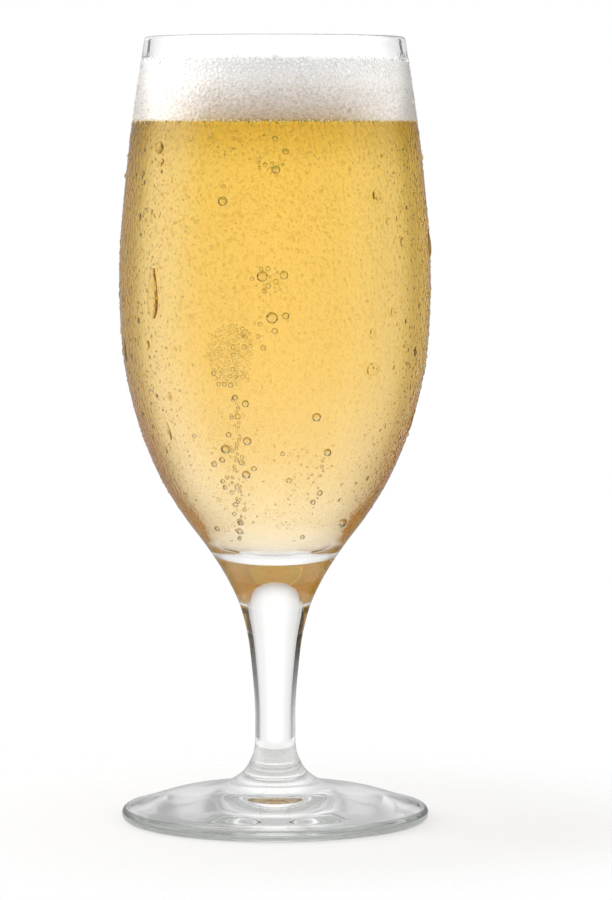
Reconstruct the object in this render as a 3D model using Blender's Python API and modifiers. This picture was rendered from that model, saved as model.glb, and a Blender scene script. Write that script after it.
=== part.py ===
"""A stemmed beer glass filled with shandy: a tulip bowl on a short stem and a round foot,
the drink inside it and the white head of foam on top.

Metres, +Z up. The origin is the middle of the foot's underside, and Z is the axis of the glass.
The glass, the drink and the foam are three turned solids.
"""

import math

import bpy
from mathutils import Vector
from mathutils.geometry import interpolate_bezier

MM = 0.001
STEPS = 48                      # facets round the axis
GAP = 0.3 * MM                  # left between solids that touch

# Driving dimensions
RIM_HEIGHT = 195.2 * MM         # top of the rim above the table
RIM_RADIUS = 32.35 * MM         # outside of the wall at the rim
WALL = 1.7 * MM                 # wall thickness at the rim
BELLY_RADIUS = 38.7 * MM        # widest part of the bowl
BELLY_HEIGHT = 134.0 * MM
WELL_HEIGHT = 68.2 * MM         # lowest point inside the bowl
STEM_RADIUS = 5.05 * MM         # thinnest part of the stem
STEM_HEIGHT = 24.0 * MM
FOOT_RADIUS = 38.5 * MM
FOOT_EDGE = 3.4 * MM            # thickness of the foot's rounded edge
HOLLOW_RADIUS = 33.0 * MM       # the shallow hollow under the foot
HOLLOW_DEPTH = 1.6 * MM
DRINK_HEIGHT = 174.3 * MM       # where the drink meets the foam
FOAM_HEIGHT = 189.5 * MM        # flat top of the foam
FOAM_SHOULDER = 0.8 * MM        # how far the foam's edge sits below its flat top

# The outside of the bowl and the stem, as (radius, height), rim to foot
OUTSIDE = [
    (RIM_RADIUS, RIM_HEIGHT - WALL / 2),
    (34.55 * MM, 180.0 * MM),
    (37.10 * MM, 159.5 * MM),
    (BELLY_RADIUS, BELLY_HEIGHT),
    (36.90 * MM, 111.0 * MM),
    (32.50 * MM, 95.0 * MM),
    (27.85 * MM, 84.5 * MM),
    (22.55 * MM, 76.0 * MM),
    (16.95 * MM, 68.5 * MM),
    (12.45 * MM, 61.5 * MM),
    (9.05 * MM, 54.5 * MM),
    (7.00 * MM, 47.0 * MM),
    (5.80 * MM, 38.0 * MM),
    (STEM_RADIUS, STEM_HEIGHT),
    (5.65 * MM, 16.2 * MM),
    (7.80 * MM, 12.3 * MM),
    (11.45 * MM, 9.6 * MM),
    (26.95 * MM, 6.4 * MM),
    (FOOT_RADIUS - FOOT_EDGE / 2, FOOT_EDGE),
]

# The inside of the bowl, as (radius, height), from the bottom of the well to the rim
INSIDE = [
    (0.0, WELL_HEIGHT),
    (6.0 * MM, 68.75 * MM),
    (12.0 * MM, 71.0 * MM),
    (19.0 * MM, 76.3 * MM),
    (28.9 * MM, 91.0 * MM),
    (35.1 * MM, 111.0 * MM),
    (BELLY_RADIUS - WALL, BELLY_HEIGHT),
    (35.4 * MM, 159.5 * MM),
    (32.85 * MM, 180.0 * MM),
    (RIM_RADIUS - WALL, RIM_HEIGHT - WALL / 2),
]


def smooth_curve(points, pieces, start=None, end=None):
    """Points along a smooth curve through the given ones, with a few pieces in each span.

    start and end are the curve's directions at its two ends, where they matter.
    """
    knots = [Vector((r, 0.0, z)) for r, z in points]
    slopes = []
    for i, knot in enumerate(knots):
        before = knots[max(i - 1, 0)]
        after = knots[min(i + 1, len(knots) - 1)]
        ahead = (after - knot).length
        behind = (knot - before).length
        if ahead and behind:
            slope = (knot - before) * (ahead / behind) + (after - knot) * (behind / ahead)
        else:
            slope = after - before
        slopes.append(slope.normalized())
    if start:
        slopes[0] = Vector((start[0], 0.0, start[1])).normalized()
    if end:
        slopes[-1] = Vector((end[0], 0.0, end[1])).normalized()
    curve = [knots[0]]
    for a, b, slope_a, slope_b in zip(knots, knots[1:], slopes, slopes[1:]):
        reach = (b - a).length / 3.0
        span = interpolate_bezier(a, a + slope_a * reach, b - slope_b * reach, b, pieces + 1)
        curve.extend(span[1:])
    return [(point.x, point.z) for point in curve]


def arc(centre, radius, first, last, pieces):
    """Points on a circle from the angle first to the angle last, in degrees, ends left out."""
    angles = [math.radians(first + (last - first) * i / pieces) for i in range(1, pieces)]
    return [(centre[0] + radius * math.cos(a), centre[1] + radius * math.sin(a)) for a in angles]


def inset(points, distance):
    """The curve moved sideways by a distance, towards the axis and up."""
    moved = []
    for i, (r, z) in enumerate(points):
        before = Vector(points[max(i - 1, 0)])
        after = Vector(points[min(i + 1, len(points) - 1)])
        along = (after - before).normalized()
        moved.append((r - along.y * distance, z + along.x * distance))
    moved[0] = (0.0, points[0][1] + distance)
    return moved


def between(points, low, high):
    """The stretch of a rising curve from the height low to the height high, ends worked out."""
    def radius_at(height):
        for (r0, z0), (r1, z1) in zip(points, points[1:]):
            if z0 <= height <= z1:
                return r0 + (r1 - r0) * (height - z0) / (z1 - z0)
        return points[0][0]

    inner = [(r, z) for r, z in points if low + GAP < z < high - GAP]
    return [(radius_at(low), low)] + inner + [(radius_at(high), high)]


def material(name, colour, roughness, transmission=0.0, ior=1.45):
    made = bpy.data.materials.new(name)
    made.use_nodes = True
    shader = made.node_tree.nodes["Principled BSDF"]
    shader.inputs["Base Color"].default_value = (*colour, 1.0)
    shader.inputs["Metallic"].default_value = 0.0
    shader.inputs["Roughness"].default_value = roughness
    shader.inputs["Transmission Weight"].default_value = transmission
    shader.inputs["IOR"].default_value = ior
    return made


def turned(name, profile, finish, collection):
    """A solid turned about Z from its profile, which runs from the axis or the rim downwards."""
    mesh = bpy.data.meshes.new(name)
    vertices = [(r, 0.0, z) for r, z in profile]
    edges = [(i, i + 1) for i in range(len(profile) - 1)]
    mesh.from_pydata(vertices, edges, [])
    solid = bpy.data.objects.new(name, mesh)
    collection.objects.link(solid)
    screw = solid.modifiers.new("Turned", "SCREW")
    screw.axis = "Z"
    screw.steps = STEPS
    screw.render_steps = STEPS
    screw.use_merge_vertices = True
    screw.merge_threshold = 0.00001
    screw.use_smooth_shade = True
    mesh.materials.append(finish)
    return solid


def glass(inside, collection):
    """The bowl, stem and foot in one profile, from the middle of the well over the rim and down."""
    outside = smooth_curve(OUTSIDE, 2)
    rim_centre = (RIM_RADIUS - WALL / 2, RIM_HEIGHT - WALL / 2)
    edge_centre = (FOOT_RADIUS - FOOT_EDGE / 2, FOOT_EDGE / 2)
    rim = arc(rim_centre, WALL / 2, 180.0, 0.0, 4)
    edge = arc(edge_centre, FOOT_EDGE / 2, 90.0, -90.0, 5)
    hollow = [
        (HOLLOW_RADIUS * math.sqrt(1.0 - level), HOLLOW_DEPTH * level)
        for level in (0.0, 0.35, 0.75, 1.0)
    ]
    profile = inside + rim + outside + edge + [(edge_centre[0], 0.0)] + hollow
    clear = material("glass", (0.93, 0.95, 0.95), 0.02, transmission=1.0, ior=1.5)
    return turned("glass", profile, clear, collection)


def drink(lining, collection):
    """The shandy, from the middle of its top down to the bottom of the well."""
    wall = between(lining, lining[0][1], DRINK_HEIGHT - GAP / 2)
    wall[0] = lining[0]
    profile = [(0.0, wall[-1][1])] + wall[::-1]
    amber = material("shandy", (0.93, 0.58, 0.13), 0.05, transmission=0.8, ior=1.34)
    return turned("drink", profile, amber, collection)


def foam(lining, collection):
    """The head, with a flat top that rounds down to the wall."""
    wall = between(lining, DRINK_HEIGHT + GAP / 2, FOAM_HEIGHT - FOAM_SHOULDER)
    edge_radius = wall[-1][0]
    top = [
        (0.0, FOAM_HEIGHT),
        (edge_radius - 3.0 * FOAM_SHOULDER, FOAM_HEIGHT),
        (edge_radius - FOAM_SHOULDER, FOAM_HEIGHT - 0.3 * FOAM_SHOULDER),
    ]
    profile = top + wall[::-1] + [(0.0, wall[0][1])]
    white = material("foam", (0.93, 0.90, 0.86), 0.75)
    return turned("foam", profile, white, collection)


def main():
    for existing in list(bpy.data.objects):
        bpy.data.objects.remove(existing, do_unlink=True)
    collection = bpy.data.collections.new("Glass of shandy")
    bpy.context.scene.collection.children.link(collection)
    inside = smooth_curve(INSIDE, 2, start=(1.0, 0.0))
    lining = inset(inside, GAP)
    glass(inside, collection)
    drink(lining, collection)
    foam(lining, collection)


main()
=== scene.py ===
"""The looks of a stemmed beer glass filled with shandy: clear glass misted with condensation,
golden drink with bubbles, and a white head of foam.

Metres, +Z up. The origin is the middle of the foot's underside, and Z is the axis of the glass.
"""

import math
import random
from collections import namedtuple

import bmesh
import bpy
from mathutils import Matrix, Vector
from mathutils.geometry import interpolate_bezier


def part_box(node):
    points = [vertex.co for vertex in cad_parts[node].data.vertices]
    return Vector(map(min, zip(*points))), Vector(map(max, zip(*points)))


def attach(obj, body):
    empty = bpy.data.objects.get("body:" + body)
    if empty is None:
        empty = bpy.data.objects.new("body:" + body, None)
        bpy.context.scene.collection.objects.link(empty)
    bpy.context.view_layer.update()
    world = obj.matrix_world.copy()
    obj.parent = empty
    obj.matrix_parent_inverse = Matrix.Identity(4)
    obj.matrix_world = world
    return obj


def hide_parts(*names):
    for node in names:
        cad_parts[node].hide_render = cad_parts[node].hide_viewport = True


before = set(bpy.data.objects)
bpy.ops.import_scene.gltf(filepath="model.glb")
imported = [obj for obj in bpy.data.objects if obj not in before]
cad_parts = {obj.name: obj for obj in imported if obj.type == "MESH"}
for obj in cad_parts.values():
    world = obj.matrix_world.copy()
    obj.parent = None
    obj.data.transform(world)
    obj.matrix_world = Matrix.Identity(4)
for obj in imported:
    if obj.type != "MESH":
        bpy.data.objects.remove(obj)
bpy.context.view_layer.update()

MM = 0.001
STEPS = 256                     # facets round the axis of a turned piece
REACH = 0.15 * MM               # how far the contents reach into the wall of the glass
CAD_GAP = 0.3 * MM              # left between the solids that the pieces replace
OVERLAP = 0.1 * MM              # how far the head reaches down into the drink
SPARE = 0.2 * MM                # left out of a curve next to an end that is put in its place

# The glass
rim_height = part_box("glass")[1].z
belly_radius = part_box("glass")[1].x
BELLY_HEIGHT = 134.0 * MM       # where the bowl is widest
BOWL_FOOT = 60.0 * MM           # where the outside of the bowl is taken to start
WALL = 1.7 * MM                 # wall thickness at the rim
RIM_RADIUS = 32.35 * MM
FOOT_RADIUS = 38.5 * MM
FOOT_EDGE = 3.4 * MM            # thickness of the foot's rounded edge
FOOT_TOP = 12.0 * MM            # where the foot runs up into the stem
HOLLOW_RADIUS = 33.0 * MM       # the shallow hollow under the foot
HOLLOW_DEPTH = 1.6 * MM
HOLLOW_PIECES = 16

# The drink and the foam
drink_top = (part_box("drink")[1].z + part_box("foam")[0].z) / 2
foam_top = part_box("foam")[1].z
well_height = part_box("drink")[0].z - CAD_GAP
SHOULDER = 0.8 * MM             # how far the head's edge sits below its flat top

GLASS_IOR = 1.56
DRINK_IOR = 1.34
WATER_IOR = 1.33

# The relief of the head
CELL_SCALE = 1000.0
STREAK_SCALE = 1700.0
STREAK_SHARE = 0.20             # how much less they change upwards than across
FROTH_DEPTH = 0.8 * MM

# The round table top, which fades out between two distances from the axis
TABLE_RADIUS = 0.25
TABLE_DROP = 0.1 * MM           # how far it lies below the foot
FADE_START = 0.06
FADE_END = 0.13

# How many of each small thing there are
HAZE_BUBBLES = 900
COLLAR_BUBBLES = 420
DEW_DROPS = 900
FINE_DEW = 8200
SPLASH_SPECKS = 160
EDGE_FROTH = 900
TOP_FROTH = 500
FOOT_FROTH = 600

# How the small things lie against the glass
NEARBY = 40.0                   # bubbles farther off than this, in millimetres, never touch a patch
BUBBLE_GAP = 0.12 * MM          # between a bubble on the wall and the outside of the drink
FROTH_SUNK = 0.05 * MM          # how far froth bubbles reach into the wall
DROP_SUNK = 0.03 * MM           # how deep the flat base of a drop lies in the wall
DROP_THICKNESS = 0.40           # thickness of a big drop, in widths
DRIP_THICKNESS = 0.42
DRIP_TAPER = 0.40               # width of a drip's upper end, in widths of its lower end
LOWEST_DROP = 78.0              # heights in millimetres
LOWEST_MIST = 76.0
HIGHEST_WATER = 190.0

# The dimples that the finest dew makes on the bowl
DIMPLE_SCALE = 950.0
DIMPLE_STRETCH = (1.0, 1.0, 0.75)
DIMPLE_SHIFT = (0.25 * MM, 0.25 * MM, 0.15 * MM)
DIMPLE_DEPTH = 0.10 * MM
DEW_FOOT = 72.0 * MM            # lowest and highest dew on the bowl
DEW_TOP = 192.0 * MM

# Bubbles that stand out on the front wall: across, height, radius, in millimetres
SINGLE_BUBBLES = [
    (0.0, 170.0, 0.7), (2.5, 166.8, 0.8), (-0.7, 164.0, 0.5), (0.2, 162.5, 1.1), (-2.3, 163.7, 0.6),
    (-3.5, 165.3, 0.4), (-12.3, 154.9, 1.2), (-12.1, 158.5, 0.5), (-3.0, 137.0, 1.4),
    (2.1, 137.3, 1.1), (-0.7, 127.1, 1.5), (2.5, 127.6, 0.9), (-3.5, 125.6, 0.6),
    (-0.1, 124.0, 0.8), (-4.0, 122.7, 0.6), (-2.8, 120.0, 0.7), (-13.3, 111.1, 0.6),
    (-10.5, 110.9, 0.7), (-9.5, 107.9, 0.8), (-7.0, 106.4, 0.9), (-8.8, 103.3, 0.8),
    (9.8, 103.1, 1.15), (-19.1, 98.3, 0.6), (-11.0, 98.8, 0.7), (-6.6, 97.3, 1.1),
    (-11.7, 95.2, 1.2), (-14.4, 91.5, 0.8), (-12.5, 92.6, 0.8), (-8.0, 92.0, 0.7),
    (-5.0, 90.5, 0.7), (-6.8, 89.0, 1.1), (-9.3, 81.5, 0.7), (-8.0, 77.1, 0.8),
    (-8.1, 75.0, 0.8), (12.4, 94.4, 1.0), (11.0, 90.9, 0.5), (10.5, 84.4, 0.8), (8.9, 82.1, 0.7),
    (15.3, 76.8, 1.2), (1.8, 94.2, 0.6), (3.3, 87.6, 0.7), (-13.2, 75.5, 0.7), (6.2, 73.6, 0.6),
]

# Patches of small bubbles: across, height, half width, half height, count, smallest, largest
BUBBLE_PATCHES = [
    (-1.5, 163.7, 3.4, 2.6, 12, 0.20, 0.50),
    (-1.5, 136.2, 4.0, 3.2, 22, 0.25, 0.80),
    (-8.3, 121.2, 2.8, 4.2, 16, 0.35, 0.75),
    (-10.8, 112.8, 4.6, 2.0, 14, 0.30, 0.70),
    (-10.6, 118.5, 5.4, 7.2, 520, 0.08, 0.28),
    (-10.6, 86.4, 2.0, 2.2, 18, 0.30, 0.70),
    (0.6, 126.8, 2.8, 1.6, 6, 0.20, 0.40),
    (-25.9, 134.9, 5.5, 34.0, 40, 0.15, 0.35),
    (0.0, 167.0, 16.0, 5.0, 40, 0.12, 0.30),
    (-4.0, 88.0, 14.0, 12.0, 60, 0.10, 0.35),
]

# Rising chains: where each starts and ends, count, smallest, largest
BUBBLE_CHAINS = [
    ((-8.3, 73.0), (-9.0, 109.0), 46, 0.20, 0.60),
    ((8.5, 79.6), (12.6, 97.0), 14, 0.20, 0.45),
    ((-2.3, 131.3), (-4.4, 119.7), 8, 0.20, 0.45),
]

# Drops on the outside of the bowl: across, height, width, length
LARGE_DROPS = [
    (-28.0, 167.8, 1.9, 3.0), (24.5, 156.2, 1.8, 3.6), (23.7, 122.9, 1.5, 2.9),
    (23.7, 114.3, 3.0, 3.2), (-27.4, 164.5, 1.0, 1.6), (-31.0, 120.0, 0.9, 2.2),
    (31.0, 145.0, 1.0, 2.4), (-15.5, 171.0, 1.2, 1.8), (-10.0, 168.0, 1.4, 1.3),
    (28.6, 128.0, 0.9, 2.6), (-33.0, 151.0, 0.8, 2.0), (34.5, 118.0, 1.0, 2.8),
    (-22.0, 158.0, 0.8, 1.2), (18.0, 163.0, 0.9, 1.3), (-25.5, 107.5, 0.9, 2.2),
]

# Drips that have run a little way down: across, height, width, length
DRIPS = [
    (-29.7, 133.2, 3.2, 13.7), (38.05, 144.4, 2.0, 7.4), (-36.9, 118.0, 1.2, 6.0),
    (33.8, 100.5, 1.4, 6.0), (-26.0, 99.0, 1.2, 5.0),
]

# The outside of the glass, as (radius, height), rim to foot
OUTSIDE = [
    (RIM_RADIUS, rim_height - WALL / 2),
    (34.55 * MM, 180.0 * MM),
    (37.10 * MM, 159.5 * MM),
    (belly_radius, BELLY_HEIGHT),
    (36.90 * MM, 111.0 * MM),
    (32.50 * MM, 95.0 * MM),
    (27.85 * MM, 84.5 * MM),
    (22.55 * MM, 76.0 * MM),
    (16.95 * MM, 68.5 * MM),
    (12.45 * MM, 61.5 * MM),
    (9.05 * MM, 54.5 * MM),
    (7.00 * MM, 47.0 * MM),
    (5.80 * MM, 38.0 * MM),
    (5.05 * MM, 24.0 * MM),
    (5.65 * MM, 16.2 * MM),
    (7.80 * MM, 12.3 * MM),
    (11.45 * MM, 9.6 * MM),
    (26.95 * MM, 6.4 * MM),
    (FOOT_RADIUS - FOOT_EDGE / 2, FOOT_EDGE),
]

# The inside of the bowl, as (radius, height), from the bottom of the well to the rim
INSIDE = [
    (0.0, well_height),
    (6.0 * MM, 68.75 * MM),
    (12.0 * MM, 71.0 * MM),
    (19.0 * MM, 76.3 * MM),
    (28.9 * MM, 91.0 * MM),
    (35.1 * MM, 111.0 * MM),
    (belly_radius - WALL, BELLY_HEIGHT),
    (35.4 * MM, 159.5 * MM),
    (32.85 * MM, 180.0 * MM),
    (RIM_RADIUS - WALL, rim_height - WALL / 2),
]

# Where a copy of a shape stands, how it is turned, and its size along its own three axes
Placing = namedtuple("Placing", "place turn size")


# ---------------------------------------------------------------- curves

def smooth_curve(points, pieces, start=None):
    """Points along a smooth curve through the given ones, with a few pieces in each span."""
    knots = [Vector((r, 0.0, z)) for r, z in points]
    slopes = []
    for i, knot in enumerate(knots):
        before = knots[max(i - 1, 0)]
        after = knots[min(i + 1, len(knots) - 1)]
        ahead = (after - knot).length
        behind = (knot - before).length
        if ahead and behind:
            slope = (knot - before) * (ahead / behind) + (after - knot) * (behind / ahead)
        else:
            slope = after - before
        slopes.append(slope.normalized())
    if start:
        slopes[0] = Vector((start[0], 0.0, start[1])).normalized()
    curve = [knots[0]]
    for a, b, slope_a, slope_b in zip(knots, knots[1:], slopes, slopes[1:]):
        reach = (b - a).length / 3.0
        span = interpolate_bezier(a, a + slope_a * reach, b - slope_b * reach, b, pieces + 1)
        curve.extend(span[1:])
    return [(point.x, point.z) for point in curve]


def arc(centre, radius, first, last, pieces):
    """Points on a circle from the angle first to the angle last, in degrees, ends left out."""
    angles = [math.radians(first + (last - first) * i / pieces) for i in range(1, pieces)]
    return [(centre[0] + radius * math.cos(a), centre[1] + radius * math.sin(a)) for a in angles]


def offset(points, distance):
    """The curve moved sideways by a distance, away from the axis and down."""
    moved = []
    for i in range(len(points)):
        before = Vector(points[max(i - 1, 0)])
        after = Vector(points[min(i + 1, len(points) - 1)])
        along = (after - before).normalized()
        moved.append((points[i][0] + along.y * distance, points[i][1] - along.x * distance))
    moved[0] = (0.0, points[0][1] - distance)
    return moved


def radius_at(points, height):
    """The radius of a rising or falling curve at a height."""
    for (r0, z0), (r1, z1) in zip(points, points[1:]):
        if min(z0, z1) <= height <= max(z0, z1) and z0 != z1:
            return r0 + (r1 - r0) * (height - z0) / (z1 - z0)
    raise ValueError(f"the curve has no height {height}")


inside = smooth_curve(INSIDE, 12, start=(1.0, 0.0))
outside = smooth_curve(OUTSIDE, 10)
lining = offset(inside, REACH)
bowl = [point for point in outside if point[1] > BOWL_FOOT][::-1]


# ---------------------------------------------------------------- pieces

def as_mesh(name, bm):
    """Turns a bmesh that is done with into a mesh."""
    mesh = bpy.data.meshes.new(name)
    bm.to_mesh(mesh)
    bm.free()
    return mesh


def as_object(name, bm, materials):
    mesh = as_mesh(name, bm)
    for material in materials:
        mesh.materials.append(material)
    made = bpy.data.objects.new(name, mesh)
    bpy.context.scene.collection.objects.link(made)
    return made


def finish_piece(name, bm, materials, replaced=None):
    """Makes a smooth piece of a bmesh, riding on the glass's own body."""
    piece = as_object(name, bm, materials)
    piece.data.shade_smooth()
    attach(piece, "root")
    if replaced:
        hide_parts(replaced)


def turned(profile):
    """A closed solid turned about Z, from a profile that starts and ends on the axis."""
    bm = bmesh.new()
    verts = [bm.verts.new((r, 0.0, z)) for r, z in profile]
    edges = [bm.edges.new(pair) for pair in zip(verts, verts[1:])]
    bmesh.ops.spin(bm, geom=verts + edges, cent=(0, 0, 0), axis=(0, 0, 1),
                   angle=math.tau, steps=STEPS, use_merge=True)
    bmesh.ops.remove_doubles(bm, verts=bm.verts, dist=0.001 * MM)
    bmesh.ops.recalc_face_normals(bm, faces=bm.faces)
    return bm


# ---------------------------------------------------------------- nodes of a material

def new_material(name):
    made = bpy.data.materials.new(name)
    made.use_nodes = True
    tree = made.node_tree
    return made, tree, tree.nodes["Principled BSDF"]


def connect(tree, value, socket):
    """Gives a socket the output of another node, or a number or a colour of its own."""
    if isinstance(value, bpy.types.NodeSocket):
        tree.links.new(value, socket)
    elif isinstance(value, tuple):
        socket.default_value = (*value, 1.0)
    else:
        socket.default_value = value


def number(tree, operation, *values):
    """The result of an operation on one number or two."""
    node = tree.nodes.new("ShaderNodeMath")
    node.operation = operation
    for value, socket in zip(values, node.inputs):
        connect(tree, value, socket)
    return node.outputs["Value"]


def vector_number(tree, operation, *vectors):
    """The number that an operation makes of one vector or two."""
    node = tree.nodes.new("ShaderNodeVectorMath")
    node.operation = operation
    for vector, socket in zip(vectors, node.inputs):
        tree.links.new(vector, socket)
    return node.outputs["Value"]


def rescaled(tree, value, low, high, new_low=0.0, new_high=1.0, change="LINEAR"):
    """Takes the span from low to high over to the new one, and holds the value inside it."""
    node = tree.nodes.new("ShaderNodeMapRange")
    node.interpolation_type = change
    node.inputs["From Min"].default_value = low
    node.inputs["From Max"].default_value = high
    node.inputs["To Min"].default_value = new_low
    node.inputs["To Max"].default_value = new_high
    tree.links.new(value, node.inputs["Value"])
    return node.outputs["Result"]


def ramp(tree, value, stops):
    """A colour for a value from 0 to 1; each stop has its place and a colour or a shade of grey."""
    node = tree.nodes.new("ShaderNodeValToRGB")
    elements = node.color_ramp.elements
    while len(elements) < len(stops):
        elements.new(0.5)
    for element, (place, colour) in zip(elements, stops):
        element.position = place
        element.color = (*colour, 1.0) if isinstance(colour, tuple) else (colour, colour, colour, 1.0)
    tree.links.new(value, node.inputs["Fac"])
    return node.outputs["Color"]


def mixed(tree, factor, first, second, kind="RGBA", blend="MIX"):
    """A mix of two colours, or of two numbers when kind is FLOAT."""
    node = tree.nodes.new("ShaderNodeMix")
    node.data_type = kind
    node.blend_type = blend
    connect(tree, factor, node.inputs["Factor"])
    connect(tree, first, node.inputs["A"])
    connect(tree, second, node.inputs["B"])
    return node.outputs["Result"]


def mixed_surface(tree, factor, first, second):
    """The first surface where the factor is 0, and the second one where it is 1."""
    mix = tree.nodes.new("ShaderNodeMixShader")
    tree.links.new(factor, mix.inputs["Fac"])
    tree.links.new(first, mix.inputs[1])
    tree.links.new(second, mix.inputs[2])
    return mix.outputs["Shader"]


def thinned_surface(tree, factor, surface, tint=(1.0, 1.0, 1.0)):
    """Gives the material a surface that lets light straight through where the factor is 1."""
    clear = tree.nodes.new("ShaderNodeBsdfTransparent")
    clear.inputs["Color"].default_value = (*tint, 1.0)
    thinned = mixed_surface(tree, factor, surface, clear.outputs["BSDF"])
    tree.links.new(thinned, tree.nodes["Material Output"].inputs["Surface"])


def let_lamps_through(tree, surface, tint=(1.0, 1.0, 1.0)):
    """Light reaches what stands behind or inside the clear piece."""
    path = tree.nodes.new("ShaderNodeLightPath").outputs
    either = number(tree, "MAXIMUM", path["Is Shadow Ray"], path["Is Diffuse Ray"])
    thinned_surface(tree, either, surface, tint)


def absorbing(tree, colour, density):
    """The piece takes on colour with the length of the way through it."""
    absorb = tree.nodes.new("ShaderNodeVolumeAbsorption")
    absorb.inputs["Color"].default_value = (*colour, 1.0)
    absorb.inputs["Density"].default_value = density
    tree.links.new(absorb.outputs["Volume"], tree.nodes["Material Output"].inputs["Volume"])


def bump(tree, height, shader, depth):
    node = tree.nodes.new("ShaderNodeBump")
    node.inputs["Distance"].default_value = depth
    tree.links.new(height, node.inputs["Height"])
    tree.links.new(node.outputs["Normal"], shader.inputs["Normal"])


# ---------------------------------------------------------------- places on the glass

def here(tree, output="Object"):
    where = tree.nodes.new("ShaderNodeTexCoord")
    return where.outputs[output]


def parts(tree, vector):
    """The X, Y and Z of a vector."""
    split = tree.nodes.new("ShaderNodeSeparateXYZ")
    tree.links.new(vector, split.inputs["Vector"])
    return split.outputs


def stretched(tree, stretch=(1.0, 1.0, 1.0), shift=(0.0, 0.0, 0.0)):
    """The place on the piece, drawn out along its axes and moved."""
    mapping = tree.nodes.new("ShaderNodeMapping")
    mapping.inputs["Scale"].default_value = stretch
    mapping.inputs["Location"].default_value = shift
    tree.links.new(here(tree), mapping.inputs["Vector"])
    return mapping.outputs["Vector"]


def from_axis(tree):
    """The place on the piece with its height taken away."""
    level = tree.nodes.new("ShaderNodeVectorMath")
    level.operation = "MULTIPLY"
    level.inputs[1].default_value = (1.0, 1.0, 0.0)
    tree.links.new(here(tree), level.inputs[0])
    return level.outputs["Vector"]


def height_ramp(tree, stops, low, high):
    """A colour that changes with height, from low to high."""
    return ramp(tree, rescaled(tree, parts(tree, here(tree))["Z"], low, high), stops)


def towards_sides(tree, stops):
    """A colour that changes from the middle plane of the glass out to its left and right sides."""
    away = number(tree, "ABSOLUTE", parts(tree, here(tree))["X"])
    return ramp(tree, number(tree, "DIVIDE", away, radius_at(lining, drink_top)), stops)


def on_foot(tree, inner, outer):
    """Rises from 0 to 1 between two distances from the axis on the foot; 0 everywhere else."""
    beyond = rescaled(tree, vector_number(tree, "LENGTH", from_axis(tree)), inner, outer)
    low = height_ramp(tree, [(0.0, 1.0), (1.0, 0.0)], FOOT_TOP, FOOT_TOP + 2.0 * MM)
    return number(tree, "MULTIPLY", beyond, low)


def facing_outwards(tree):
    """1 on surfaces that face away from the axis, and 0 on those that face it."""
    along = vector_number(tree, "DOT_PRODUCT", from_axis(tree), here(tree, "Normal"))
    return number(tree, "GREATER_THAN", along, 0.0)


# ---------------------------------------------------------------- patterns

def noise(tree, where, scale, detail):
    texture = tree.nodes.new("ShaderNodeTexNoise")
    texture.inputs["Scale"].default_value = scale
    texture.inputs["Detail"].default_value = detail
    tree.links.new(where, texture.inputs["Vector"])
    return texture.outputs["Fac"]


def dimples(tree, shift=(0.0, 0.0, 0.0)):
    """The relief that the finest dew gives the bowl, from 0 to 1."""
    return noise(tree, stretched(tree, DIMPLE_STRETCH, shift), DIMPLE_SCALE, detail=1.0)


def shaded_sides(tree):
    """1 on the steep sides of the dimples that face away from the light, 0 on the rest."""
    slope = number(tree, "SUBTRACT", dimples(tree), dimples(tree, DIMPLE_SHIFT))
    return rescaled(tree, slope, 0.06, 0.18)


def fanned_place(tree):
    """Coordinates that spread out sideways going down the head, so that streaks fan out."""
    x, y, z = parts(tree, here(tree))
    spread = rescaled(tree, z, drink_top, foam_top, 0.60, 1.05)
    join = tree.nodes.new("ShaderNodeCombineXYZ")
    for part, factor, socket in zip((x, y, z), (spread, spread, STREAK_SHARE), join.inputs):
        tree.links.new(number(tree, "MULTIPLY", part, factor), socket)
    return join.outputs["Vector"]


# ---------------------------------------------------------------- materials

def clear_glass():
    """Soda glass with painted shade along the rim and the edge of the foot, and fine dimples of dew on
    the bowl whose sides carry painted shade.
    """
    made, tree, shader = new_material("clear_glass")
    plain = (0.985, 0.99, 0.988)
    # painted shade: a dark grey tint along the top of the rim
    rim = height_ramp(tree, [(0.0, plain), (0.84, plain), (0.92, (0.28, 0.29, 0.29))],
                      rim_height - 2.0 * MM, rim_height)
    # painted shade: a darker grey tint along the edge of the foot
    foot_edge_shade = on_foot(tree, FOOT_RADIUS - 1.3 * MM, FOOT_RADIUS - 0.5 * MM)
    painted_edge_shade = mixed(tree, foot_edge_shade, rim, (0.52, 0.54, 0.52))
    misted = height_ramp(tree, [(0.0, 0.0), (0.06, 1.0), (0.94, 1.0), (1.0, 0.0)], DEW_FOOT, DEW_TOP)
    dewy = number(tree, "MULTIPLY", misted, facing_outwards(tree))
    # painted shade on the dimples' sides that face away from the light, brown-gold below the top of the
    # drink and grey above it, fainter low on the bowl
    dimple_shade = number(tree, "MULTIPLY", shaded_sides(tree), dewy)
    thinning = height_ramp(tree, [(0.0, 0.25), (0.3, 0.35), (0.7, 0.9)], DEW_FOOT, 175.0 * MM)
    thinned = number(tree, "MULTIPLY", dimple_shade, thinning)
    dimple_shade_tint = height_ramp(tree, [(0.0, (0.78, 0.72, 0.44)), (1.0, (0.86, 0.84, 0.80))],
                            drink_top - 1.0 * MM, drink_top + 1.0 * MM)
    tree.links.new(mixed(tree, thinned, painted_edge_shade, dimple_shade_tint), shader.inputs["Base Color"])
    hazy = number(tree, "SUBTRACT", on_foot(tree, 12.0 * MM, 22.0 * MM),
                  on_foot(tree, FOOT_RADIUS - 5.0 * MM, FOOT_RADIUS - 3.0 * MM))
    tree.links.new(rescaled(tree, hazy, 0.0, 1.0, 0.0, 0.02), shader.inputs["Roughness"])
    shader.inputs["IOR"].default_value = GLASS_IOR
    shader.inputs["Transmission Weight"].default_value = 1.0
    bump(tree, number(tree, "MULTIPLY", dimples(tree), dewy), shader, DIMPLE_DEPTH)
    let_lamps_through(tree, shader.outputs["BSDF"], (0.90, 0.90, 0.90))
    absorbing(tree, (0.55, 0.58, 0.56), 4.5)
    return made


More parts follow.
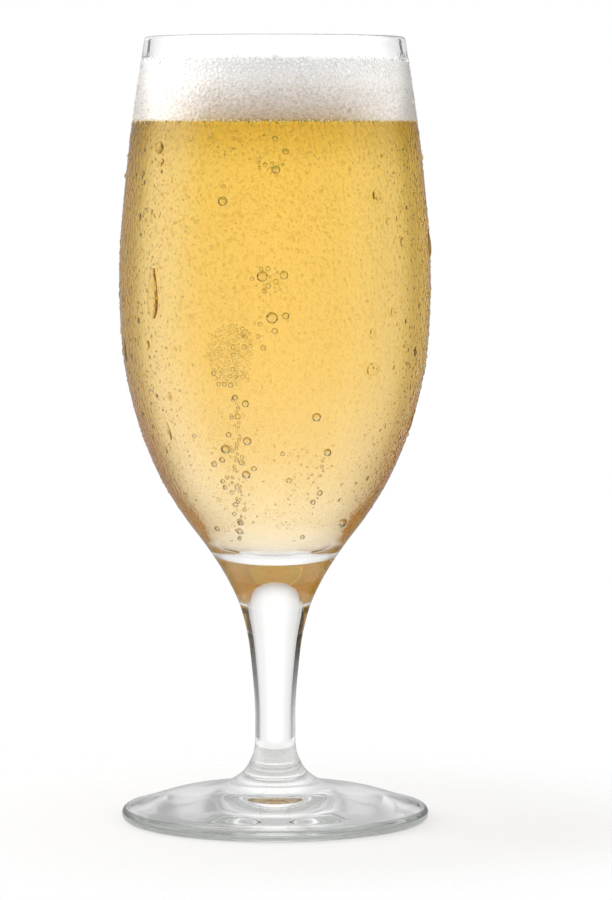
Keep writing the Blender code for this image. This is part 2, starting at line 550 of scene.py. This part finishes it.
def shandy():
    """The drink, its colour deepened towards the head by painted shade."""
    made, tree, shader = new_material("shandy")
    shader.inputs["Roughness"].default_value = 0.0
    shader.inputs["IOR"].default_value = DRINK_IOR
    shader.inputs["Transmission Weight"].default_value = 1.0
    # painted shade: the drink's tint deepens upwards, most steeply just under the head, standing in for
    # the head's shadow
    painted_head_shade = height_ramp(tree, [
        (0.0, (1.0, 1.0, 1.0)), (0.11, (1.0, 0.99, 0.90)), (0.24, (1.0, 0.94, 0.66)),
        (0.47, (0.99, 0.91, 0.44)), (0.63, (0.975, 0.89, 0.38)), (0.79, (0.965, 0.87, 0.31)),
        (0.89, (0.94, 0.83, 0.25)), (0.955, (0.77, 0.64, 0.10)), (1.0, (0.69, 0.54, 0.05)),
    ], well_height, drink_top)
    tree.links.new(painted_head_shade, shader.inputs["Base Color"])
    let_lamps_through(tree, shader.outputs["BSDF"], (0.92, 0.92, 0.92))
    absorbing(tree, (0.99, 0.72, 0.11), 18.8)
    return made


def froth():
    """The head: streaks in its lower half and cells in its upper half, with painted shade in their dents
    and cell walls, painted amber light from the drink near its foot, a painted reflection whitening its
    sides, and painted shade in its middle and at its edges.
    """
    made, tree, shader = new_material("froth")
    shader.inputs["Roughness"].default_value = 0.6
    shader.inputs["Subsurface Weight"].default_value = 0.25
    shader.inputs["Subsurface Radius"].default_value = (1.0, 0.85, 0.65)
    shader.inputs["Subsurface Scale"].default_value = 4.0 * MM
    voronoi = tree.nodes.new("ShaderNodeTexVoronoi")
    voronoi.feature = "DISTANCE_TO_EDGE"
    voronoi.inputs["Scale"].default_value = CELL_SCALE
    tree.links.new(stretched(tree), voronoi.inputs["Vector"])
    cells = voronoi.outputs["Distance"]
    streaks = noise(tree, fanned_place(tree), STREAK_SCALE, detail=1.0)
    upper = height_ramp(tree, [(0.0, 0.0), (0.5, 0.0), (0.8, 1.0)], drink_top, foam_top)
    bump(tree, mixed(tree, upper, streaks, cells, kind="FLOAT"), shader, FROTH_DEPTH)
    # painted shade in the dents of the streaks and along the walls of the cells
    dent_shade = rescaled(tree, streaks, 0.38, 0.58, 0.88, 1.05)
    cell_wall_shade = rescaled(tree, cells, 0.0, 0.09, 0.78, 1.05)
    shade = mixed(tree, upper, dent_shade, cell_wall_shade, kind="FLOAT")
    # painted light: amber from the drink glows up into the foot of the head, darkest where it meets the
    # drink
    painted_drink_glow = height_ramp(tree, [
        (0.0, (0.55, 0.37, 0.12)), (0.05, (0.62, 0.47, 0.30)), (0.13, (0.68, 0.54, 0.40)),
        (0.30, (0.77, 0.67, 0.585)), (0.46, (0.85, 0.78, 0.71)), (0.62, (0.92, 0.87, 0.83)),
        (0.79, (1.0, 0.98, 0.965)), (1.0, (1.0, 0.995, 0.985)),
    ], drink_top, foam_top)
    # painted reflection: the head turns whiter towards its left and right, where the glass mirrors the
    # white side cards
    side_glare_share = towards_sides(tree, [(0.0, 0.0), (0.45, 0.05), (0.80, 0.70), (1.0, 0.75)])
    side_glare = mixed(tree, side_glare_share, painted_drink_glow, (0.93, 0.90, 0.865))
    # painted shade: a little darker in the middle, which the side cards light less, and much darker at
    # the far left and right edges
    side_and_middle_shade = towards_sides(tree, [(0.0, 0.92), (0.40, 0.93), (0.72, 1.0), (0.86, 1.0),
                                (0.93, (0.72, 0.72, 0.73)), (1.0, (0.62, 0.62, 0.63))])
    glare_and_shade = mixed(tree, 1.0, side_glare, side_and_middle_shade, blend="MULTIPLY")
    shaded = mixed(tree, 1.0, glare_and_shade, shade, blend="MULTIPLY")
    tree.links.new(shaded, shader.inputs["Base Color"])
    return made


def stained_froth():
    """The underside of the head, soaked with the drink."""
    made, tree, shader = new_material("stained_froth")
    patches = noise(tree, stretched(tree), 300.0, detail=3.0)
    soaked = ramp(tree, patches, [(0.35, (0.53, 0.58, 0.05)), (0.65, (0.78, 0.84, 0.13))])
    tree.links.new(soaked, shader.inputs["Base Color"])
    shader.inputs["Roughness"].default_value = 0.7
    return made


def froth_balls():
    """The wet walls of the biggest froth bubbles, whiter and glossier than the head below, with painted
    amber light from the drink at their feet.
    """
    made, tree, shader = new_material("froth_balls")
    # painted light: amber from the drink glows into the froth bubbles just above it
    painted_drink_glow = height_ramp(tree, [(0.0, (0.80, 0.62, 0.28)), (0.25, (0.90, 0.84, 0.74)),
                                 (1.0, (0.97, 0.97, 0.96))], drink_top, drink_top + 4.0 * MM)
    tree.links.new(painted_drink_glow, shader.inputs["Base Color"])
    shader.inputs["Roughness"].default_value = 0.25
    shader.inputs["Coat Weight"].default_value = 0.6
    shader.inputs["Coat Roughness"].default_value = 0.08
    return made


def bubble_gas():
    """The wall between the drink and the gas in a bubble."""
    made, tree, shader = new_material("bubble_gas")
    tree.nodes.remove(shader)
    hollow = tree.nodes.new("ShaderNodeBsdfGlass")
    hollow.inputs["Color"].default_value = (0.98, 0.98, 0.94, 1.0)
    hollow.inputs["Roughness"].default_value = 0.0
    hollow.inputs["IOR"].default_value = 1.0 / DRINK_IOR
    let_lamps_through(tree, hollow.outputs["BSDF"])
    return made


def dew():
    """Clear water standing on the cold glass, with painted shade in its tint."""
    made, tree, shader = new_material("dew")
    # painted shade: the tint darkens the drops into marks, warm brown-gold below the top of the drink
    tint = height_ramp(tree, [(0.0, (0.96, 0.91, 0.72)), (1.0, (0.92, 0.90, 0.86))],
                       drink_top - 2.0 * MM, drink_top)
    tree.links.new(tint, shader.inputs["Base Color"])
    shader.inputs["Roughness"].default_value = 0.0
    shader.inputs["IOR"].default_value = WATER_IOR
    shader.inputs["Transmission Weight"].default_value = 1.0
    let_lamps_through(tree, shader.outputs["BSDF"])
    return made


# ---------------------------------------------------------------- glass, drink and head

def glass_piece():
    """The bowl, stem and foot in one profile, from the middle of the well over the rim and down."""
    rim_centre = (RIM_RADIUS - WALL / 2, rim_height - WALL / 2)
    edge_centre = (FOOT_RADIUS - FOOT_EDGE / 2, FOOT_EDGE / 2)
    rim = arc(rim_centre, WALL / 2, 180.0, 0.0, 14)
    edge = arc(edge_centre, FOOT_EDGE / 2, 90.0, -90.0, 16)
    shares = [1.0 - i / HOLLOW_PIECES for i in range(HOLLOW_PIECES + 1)]
    hollow = [(HOLLOW_RADIUS * share, HOLLOW_DEPTH * (1.0 - share ** 2)) for share in shares]
    bm = turned(inside + rim + outside + edge + [(edge_centre[0], 0.0)] + hollow)
    finish_piece("stemmed_glass", bm, [clear_glass()], "glass")


def drink_piece():
    """The shandy, from the bottom of the well up to its flat top."""
    wall = [(r, z) for r, z in lining if z < drink_top - SPARE]
    wall.append((radius_at(lining, drink_top), drink_top))
    bm = turned(wall + [(0.0, drink_top)])
    finish_piece("golden_shandy", bm, [shandy()], "drink")


def foam_piece():
    """The head, with a flat top that rounds down to the wall and a soaked underside."""
    low = drink_top - OVERLAP
    shoulder = foam_top - SHOULDER
    wall = [(r, z) for r, z in lining if low + SPARE < z < shoulder - SPARE]
    wall = [(radius_at(lining, low), low)] + wall + [(radius_at(lining, shoulder), shoulder)]
    edge = wall[-1][0]
    top = [(edge - 0.4 * MM, foam_top - 0.3 * MM), (edge - 1.6 * MM, foam_top), (0.0, foam_top)]
    bm = turned([(0.0, low)] + wall + top)
    for face in bm.faces:
        if face.normal.z < -0.9:
            face.material_index = 1
    finish_piece("foam_head", bm, [froth(), stained_froth()], "foam")


# ---------------------------------------------------------------- many copies

def mostly_small(chance, least, most, power):
    """A chance number from least to most; the higher the power, the nearer it keeps to least."""
    return least + (most - least) * chance.random() ** power


def any_turn(chance):
    return chance.uniform(-math.pi, math.pi)


def named_value(tree, name):
    node = tree.nodes.new("GeometryNodeInputNamedAttribute")
    node.data_type = "FLOAT_VECTOR"
    node.inputs["Name"].default_value = name
    return node.outputs["Attribute"]


def copying_nodes(pattern):
    """Nodes that put a real copy of the pattern on each point, turned and sized as the point says."""
    tree = bpy.data.node_groups.new("copies", "GeometryNodeTree")
    for way in ("INPUT", "OUTPUT"):
        tree.interface.new_socket("Geometry", in_out=way, socket_type="NodeSocketGeometry")
    start = tree.nodes.new("NodeGroupInput")
    source = tree.nodes.new("GeometryNodeObjectInfo")
    source.inputs["Object"].default_value = pattern
    spread = tree.nodes.new("GeometryNodeInstanceOnPoints")
    solid = tree.nodes.new("GeometryNodeRealizeInstances")
    end = tree.nodes.new("NodeGroupOutput")
    tree.links.new(start.outputs[0], spread.inputs["Points"])
    tree.links.new(source.outputs["Geometry"], spread.inputs["Instance"])
    tree.links.new(named_value(tree, "turn"), spread.inputs["Rotation"])
    tree.links.new(named_value(tree, "size"), spread.inputs["Scale"])
    tree.links.new(spread.outputs["Instances"], solid.inputs["Geometry"])
    tree.links.new(solid.outputs["Geometry"], end.inputs[0])
    return tree


def copies(bm, shape, placings):
    """Adds to a bmesh a copy of the shape, which is a bmesh too, for each placing."""
    points = bpy.data.meshes.new("points")
    points.vertices.add(len(placings))
    points.vertices.foreach_set("co", [value for placing in placings for value in placing.place])
    for name in ("turn", "size"):
        values = [value for placing in placings for value in getattr(placing, name)]
        points.attributes.new(name, "FLOAT_VECTOR", "POINT").data.foreach_set("vector", values)
    original = as_mesh("original", shape)
    pattern = bpy.data.objects.new("pattern", original)
    holder = bpy.data.objects.new("holder", points)
    for made in (pattern, holder):
        bpy.context.scene.collection.objects.link(made)
    tree = copying_nodes(pattern)
    holder.modifiers.new("Copies", "NODES").node_group = tree
    depsgraph = bpy.context.evaluated_depsgraph_get()
    together = bpy.data.meshes.new_from_object(holder.evaluated_get(depsgraph))
    bm.from_mesh(together)
    for made in (holder, pattern):
        bpy.data.objects.remove(made)
    for mesh in (points, together, original):
        bpy.data.meshes.remove(mesh)
    bpy.data.node_groups.remove(tree)


def ball(segments, rings):
    bm = bmesh.new()
    bmesh.ops.create_uvsphere(bm, u_segments=segments, v_segments=rings, radius=1.0)
    return bm


def front_angle(across, radius):
    """The turn about the axis, from straight in front, at which a circle lies so far across."""
    return math.asin(max(-1.0, min(1.0, across / radius)))


def direction(turn):
    """The level direction away from the axis, turned from straight in front."""
    return Vector((math.sin(turn), -math.cos(turn), 0.0))


def spot(turn, reach, height):
    """The point so far from the axis and so high, turned from straight in front."""
    place = direction(turn) * reach
    place.z = height
    return place


# ---------------------------------------------------------------- bubbles

def on_wall(turn, height, radius):
    """A placing for a bubble that clings to the inside of the bowl."""
    reach = radius_at(lining, height) - radius - BUBBLE_GAP
    return Placing(spot(turn, reach, height), (0.0, 0.0, turn), (radius, radius, radius))


def on_front_wall(across, height, radius):
    """The same, with the place given in millimetres across the front."""
    turn = front_angle(across * MM, radius_at(lining, height * MM) - radius * MM)
    return on_wall(turn, height * MM, radius * MM)


def is_clear(bubble, others):
    """Whether a bubble stands clear of the others."""
    return all((bubble.place - other.place).length > bubble.size[0] + other.size[0]
               for other in others)


def bubble_patch(chance, taken, across, up, half_width, half_height, count, least, most):
    """Small bubbles in an oval patch of the front wall, clear of one another and of those taken."""
    near = [bubble for bubble in taken
            if math.hypot(bubble.place.x / MM - across, bubble.place.z / MM - up) < NEARBY]
    patch = []
    for i in range(count * 3):
        away = math.sqrt(chance.random())
        around = chance.uniform(0.0, math.tau)
        x = across + half_width * away * math.cos(around)
        z = up + half_height * away * math.sin(around)
        bubble = on_front_wall(x, z, chance.uniform(least, most))
        if is_clear(bubble, near):
            near.append(bubble)
            patch.append(bubble)
        if len(patch) == count:
            break
    return patch


def bubble_chain(chance, start, end, count, least, most):
    """Small bubbles that rise one after another along the front wall."""
    chain = []
    for i in range(count):
        share = (i + chance.uniform(-0.3, 0.3)) / count
        x = start[0] + (end[0] - start[0]) * share + chance.gauss(0.0, 0.8)
        z = start[1] + (end[1] - start[1]) * share
        chain.append(on_front_wall(x, z, chance.uniform(least, most)))
    return chain


def bubbles_piece():
    """Gas bubbles in the drink: single ones, patches and chains on the wall, a haze and a collar."""
    chance = random.Random(11)
    single = [on_front_wall(*bubble) for bubble in SINGLE_BUBBLES]
    small = []
    for patch in BUBBLE_PATCHES:
        small.extend(bubble_patch(chance, single + small, *patch))
    for chain in BUBBLE_CHAINS:
        small.extend(bubble_chain(chance, *chain))
    for i in range(HAZE_BUBBLES):
        height = chance.uniform(well_height + 1.5 * MM, drink_top - 1.0 * MM)
        radius = mostly_small(chance, 0.06, 0.26, 3) * MM
        small.append(on_wall(any_turn(chance), height, radius))
    for i in range(COLLAR_BUBBLES):
        radius = chance.uniform(0.10, 0.30) * MM
        height = drink_top - radius - mostly_small(chance, 0.1, 1.3, 3) * MM
        small.append(on_wall(any_turn(chance), height, radius))
    bm = bmesh.new()
    copies(bm, ball(20, 12), single)
    copies(bm, ball(8, 5), small)
    finish_piece("bubbles_in_drink", bm, [bubble_gas()])


def froth_ball(turn, reach, height, radius, upright=1.0):
    """A placing for a froth bubble, drawn out or pressed flat where upright is not 1."""
    return Placing(spot(turn, reach, height), (0.0, 0.0, 0.0), (radius, radius, upright * radius))


def froth_piece():
    """Froth bubbles heaped along the edge and the top of the head, and beads at its foot."""
    chance = random.Random(23)
    balls = []
    for i in range(EDGE_FROTH):
        radius = mostly_small(chance, 0.16, 0.58, 2) * MM
        height = foam_top - chance.uniform(-0.25, 1.3) * MM - 0.4 * radius
        reach = radius_at(lining, height) - radius + FROTH_SUNK
        balls.append(froth_ball(any_turn(chance), reach, height, radius))
    for i in range(TOP_FROTH):
        radius = mostly_small(chance, 0.18, 1.08, 4) * MM
        reach = (radius_at(lining, foam_top) - 1.0 * MM) * math.sqrt(chance.random())
        height = foam_top - 0.35 * radius
        balls.append(froth_ball(any_turn(chance), reach, height, radius, upright=0.8))
    for i in range(FOOT_FROTH):
        radius = chance.uniform(0.12, 0.30) * MM
        height = drink_top - chance.uniform(-0.20, 0.35) * MM
        reach = radius_at(lining, height) - radius + FROTH_SUNK
        balls.append(froth_ball(any_turn(chance), reach, height, radius, upright=1.8))
    for i in range(SPLASH_SPECKS):
        radius = chance.uniform(0.06, 0.16) * MM
        height = foam_top + mostly_small(chance, 0.0, 3.6, 2) * MM
        reach = radius_at(inside, height) - 0.4 * radius
        balls.append(froth_ball(chance.gauss(0.25, 0.7), reach, height, radius))
    bm = bmesh.new()
    copies(bm, ball(8, 6), balls)
    finish_piece("froth_bubbles", bm, [froth_balls()])


# ---------------------------------------------------------------- water on the glass

def drop(segments, rings, taper=1.0):
    """A dome of unit size on a flat base, long along Y; taper is the width of its upper end."""
    bm = ball(segments, rings)
    everything = bm.verts[:] + bm.edges[:] + bm.faces[:]
    bmesh.ops.bisect_plane(bm, geom=everything, dist=0.0001, plane_co=(0.0, 0.0, 0.0),
                           plane_no=(0.0, 0.0, 1.0), clear_inner=True)
    rim = [edge for edge in bm.edges if edge.is_boundary]
    bmesh.ops.contextual_create(bm, geom=rim)
    for edge in rim:
        edge.smooth = False
    for vert in bm.verts:
        narrow = 1.0 + (taper - 1.0) * (vert.co.y + 1.0) / 2.0
        vert.co.x *= narrow
        vert.co.z *= narrow
    bmesh.ops.recalc_face_normals(bm, faces=bm.faces)
    return bm


def on_bowl(turn, height, size, tilt=0.0):
    """A placing for a drop on the outside of the bowl; its width, length and thickness are in size."""
    step = 0.5 * MM
    lean = math.atan2(radius_at(bowl, height + step) - radius_at(bowl, height - step), 2 * step)
    out = direction(turn) * math.cos(lean) - Vector((0.0, 0.0, math.sin(lean)))
    along = Vector((math.cos(turn), math.sin(turn), 0.0))
    axes = Matrix((along, out.cross(along), out)).transposed()
    reach = radius_at(bowl, height)
    sunk = DROP_SUNK + size[0] ** 2 / (2.0 * reach)
    place = direction(turn) * reach - out * sunk
    place.z += height
    return Placing(place, (axes @ Matrix.Rotation(tilt, 3, "Z")).to_euler(), size)


def on_front(across, height, width, length, thickness):
    """The same on the front of the bowl, all in millimetres, with the width as seen from there."""
    turn = front_angle(across * MM, radius_at(bowl, height * MM))
    true_width = width / max(math.cos(turn), 0.5)
    size = (true_width / 2 * MM, length / 2 * MM, thickness * MM)
    return on_bowl(turn, height * MM, size)


def chance_drop(chance, height, width, longest, thinnest, thickest):
    """A placing for a drop anywhere round the bowl; the last three are in widths of the drop."""
    size = (width, width * chance.uniform(1.0, longest), width * chance.uniform(thinnest, thickest))
    turn = any_turn(chance)
    return on_bowl(turn, height, size, tilt=chance.gauss(0.0, 0.25))


def dew_piece(water):
    """Droplets all over the bowl, and the bigger drops and drips among them."""
    chance = random.Random(5)
    small = []
    for i in range(DEW_DROPS):
        height = chance.uniform(LOWEST_DROP, HIGHEST_WATER) * MM
        width = mostly_small(chance, 0.22, 0.62, 3) * MM
        small.append(chance_drop(chance, height, width, 1.6, 0.55, 0.85))
    large = [on_front(*place, width, length, DROP_THICKNESS * width)
             for *place, width, length in LARGE_DROPS]
    runs = [on_front(*place, width, length, DRIP_THICKNESS * width)
            for *place, width, length in DRIPS]
    bm = bmesh.new()
    copies(bm, drop(12, 8), small)
    copies(bm, drop(20, 10), large)
    copies(bm, drop(24, 14, taper=DRIP_TAPER), runs)
    finish_piece("dew_on_bowl", bm, [water])


def mist_piece(water):
    """The finest droplets, which cover the whole bowl."""
    chance = random.Random(17)
    fine = []
    for i in range(FINE_DEW):
        height = mostly_small(chance, LOWEST_MIST, HIGHEST_WATER, 0.75) * MM
        width = mostly_small(chance, 0.12, 0.30, 2) * MM
        fine.append(chance_drop(chance, height, width, 1.8, 0.60, 0.95))
    bm = bmesh.new()
    copies(bm, drop(6, 4), fine)
    finish_piece("mist_on_bowl", bm, [water])


# ---------------------------------------------------------------- studio

LAMP_AIM = Vector((0.0, 0.0, 0.09))
CAMERA_PLACE = (0.0, -1.060, 0.1690)
CAMERA_DOWN = 4.12              # degrees below level
CAMERA_RIGHT = 0.41664          # degrees away from straight ahead

# Brightness round the compass, in degrees from straight behind the glass: what lights the piece,
# what is seen through the glass, and what is mirrored in it
LIGHTING_CARDS = [
    (-180, 0.76), (-150, 0.84), (-135, 1.10), (-110, 1.60), (-80, 1.60), (-60, 1.25),
    (-20, 1.00), (20, 1.00), (60, 1.10), (80, 1.30), (110, 1.75), (135, 1.30),
    (150, 0.86), (180, 0.76),
]
SEEN_CARDS = [
    (-180, 0.80), (-135, 0.80), (-110, 0.95), (-80, 1.45), (-70, 1.45), (-62, 1.26),
    (-54, 0.97), (-46, 0.74), (-40, 0.66), (-34, 0.83), (-24, 0.93), (-14, 1.09), (0, 1.16),
    (14, 1.09), (24, 0.94), (34, 0.82), (40, 0.60), (46, 0.50), (54, 0.50), (62, 0.66),
    (70, 1.10), (80, 1.25), (110, 1.00), (135, 0.80), (180, 0.80),
]
MIRRORED_CARDS = [
    (-180, 0.30), (-125, 0.35), (-98, 1.75), (-80, 1.75), (-56, 0.45), (-40, 0.32), (0, 0.40),
    (40, 0.14), (62, 0.20), (80, 0.75), (115, 0.75), (130, 0.40), (180, 0.30),
]


def card_ring(tree, around, height, cards, low, high, above):
    """White and grey cards round the compass, with one brightness above them.

    The cards give way to it between two heights of the sky.
    """
    stops = [((degrees + 180.0) / 360.0, light) for degrees, light in cards]
    share = rescaled(tree, height, low, high, change="SMOOTHSTEP")
    return mixed(tree, share, ramp(tree, around, stops), (above, above, above))


def background(tree, colour):
    node = tree.nodes.new("ShaderNodeBackground")
    connect(tree, colour, node.inputs["Color"])
    return node.outputs["Background"]


def studio_world():
    """A white studio: white cards behind, in front and at both sides, with darker gaps between."""
    world = bpy.data.worlds.new("studio")
    bpy.context.scene.world = world
    world.use_nodes = True
    tree = world.node_tree
    tree.nodes.clear()
    x, y, height = parts(tree, here(tree, "Generated"))
    around = rescaled(tree, number(tree, "ARCTAN2", x, y), -math.pi, math.pi)
    lighting = card_ring(tree, around, height, LIGHTING_CARDS, low=0.60, high=0.80, above=1.4)
    seen = card_ring(tree, around, height, SEEN_CARDS, low=0.50, high=0.75, above=0.65)
    mirrored = card_ring(tree, around, height, MIRRORED_CARDS, low=0.60, high=0.80, above=0.8)
    path = tree.nodes.new("ShaderNodeLightPath").outputs
    through = mixed(tree, path["Is Transmission Ray"], lighting, seen)
    off_glass = number(tree, "MULTIPLY", path["Is Glossy Ray"], path["Is Reflection Ray"])
    cards = background(tree, mixed(tree, off_glass, through, mirrored))
    white = background(tree, (1.0, 1.0, 1.0))
    output = tree.nodes.new("ShaderNodeOutputWorld")
    tree.links.new(mixed_surface(tree, path["Is Camera Ray"], cards, white), output.inputs["Surface"])


def soft_lamp(name, place, size, watts):
    """A square lamp aimed at the lower bowl, unseen in the glass itself."""
    data = bpy.data.lights.new(name, "AREA")
    data.size = size
    data.energy = watts
    lamp = bpy.data.objects.new(name, data)
    aim = LAMP_AIM - Vector(place)
    lamp.matrix_world = Matrix.Translation(place) @ aim.to_track_quat("-Z", "Y").to_matrix().to_4x4()
    lamp.visible_camera = False
    lamp.visible_glossy = False
    lamp.visible_transmission = False
    bpy.context.scene.collection.objects.link(lamp)


def floor():
    """A round white table top that fades out into the white of the studio."""
    bm = bmesh.new()
    bmesh.ops.create_circle(bm, cap_ends=True, segments=96, radius=TABLE_RADIUS,
                            matrix=Matrix.Translation((0.0, 0.0, -TABLE_DROP)))
    made, tree, shader = new_material("white_table")
    shader.inputs["Base Color"].default_value = (0.61, 0.61, 0.61, 1.0)
    shader.inputs["Roughness"].default_value = 0.9
    shader.inputs["Specular IOR Level"].default_value = 0.1
    away = vector_number(tree, "LENGTH", here(tree))
    fade = rescaled(tree, away, FADE_START, FADE_END, change="SMOOTHSTEP")
    thinned_surface(tree, fade, shader.outputs["BSDF"])
    table = as_object("table", bm, [made])


def black_flag(name, compass, away, half_width, low, high, thinner):
    """A black card seen only through the glass, which draws a dark line along an edge of it.

    The card stands upright, away from the axis, from low to high; thinner says where going up
    it, from 0 to 1, how much light it lets through.
    """
    bm = bmesh.new()
    turn = Matrix.Rotation(-math.radians(compass), 4, "Z")
    upright = Matrix.Rotation(math.radians(90.0), 4, "X")
    stand = Matrix.Translation((0.0, away, (low + high) / 2))
    stretch = Matrix.Diagonal((half_width, (high - low) / 2, 1.0, 1.0))
    bmesh.ops.create_grid(bm, x_segments=1, y_segments=1, size=1.0,
                          matrix=turn @ stand @ upright @ stretch)
    made, tree, shader = new_material(name)
    shader.inputs["Base Color"].default_value = (0.02, 0.02, 0.02, 1.0)
    shader.inputs["Roughness"].default_value = 0.9
    fade = height_ramp(tree, thinner, low, high)
    thinned_surface(tree, fade, shader.outputs["BSDF"])
    card = as_object(name, bm, [made])
    card.visible_camera = False
    card.visible_diffuse = False
    card.visible_glossy = False
    card.visible_shadow = False


def black_flags():
    """Two cards on each side: one for the edge of the stem and one for the end of the rim."""
    for side, way in (("left", -1.0), ("right", 1.0)):
        black_flag(side + "_stem_card", compass=way * 56.0, away=0.030, half_width=0.0115,
                   low=0.015, high=0.075,
                   thinner=[(0.0, 0.60), (0.13, 0.50), (0.48, 0.0), (0.85, 0.0), (1.0, 0.5)])
        black_flag(side + "_rim_card", compass=way * 41.5, away=0.15, half_width=0.008,
                   low=0.165, high=0.215, thinner=[(0.0, 0.0), (1.0, 0.0)])


def camera():
    """A long lens at the height of the upper bowl, turned a little down and to the right."""
    data = bpy.data.cameras.new("camera")
    data.lens = 170.5
    data.clip_start = 0.05
    data.clip_end = 50.0
    made = bpy.data.objects.new("camera", data)
    right = Matrix.Rotation(-math.radians(CAMERA_RIGHT), 4, "Z")
    down = Matrix.Rotation(math.radians(90.0 - CAMERA_DOWN), 4, "X")
    made.matrix_world = Matrix.Translation(CAMERA_PLACE) @ right @ down
    bpy.context.scene.collection.objects.link(made)
    bpy.context.scene.camera = made


def rendering():
    """Plain colours, and light that gets through many walls of glass."""
    scene = bpy.context.scene
    scene.view_settings.view_transform = "Standard"
    scene.cycles.max_bounces = 32
    scene.cycles.transmission_bounces = 32
    scene.cycles.glossy_bounces = 32
    scene.cycles.transparent_max_bounces = 64
    scene.cycles.caustics_reflective = False
    scene.cycles.caustics_refractive = False


glass_piece()
drink_piece()
foam_piece()
froth_piece()
bubbles_piece()
water = dew()
dew_piece(water)
mist_piece(water)
studio_world()
soft_lamp("left_lamp", place=(-0.90, 0.25, 0.60), size=0.70, watts=9.5)
floor()
black_flags()
camera()
rendering()
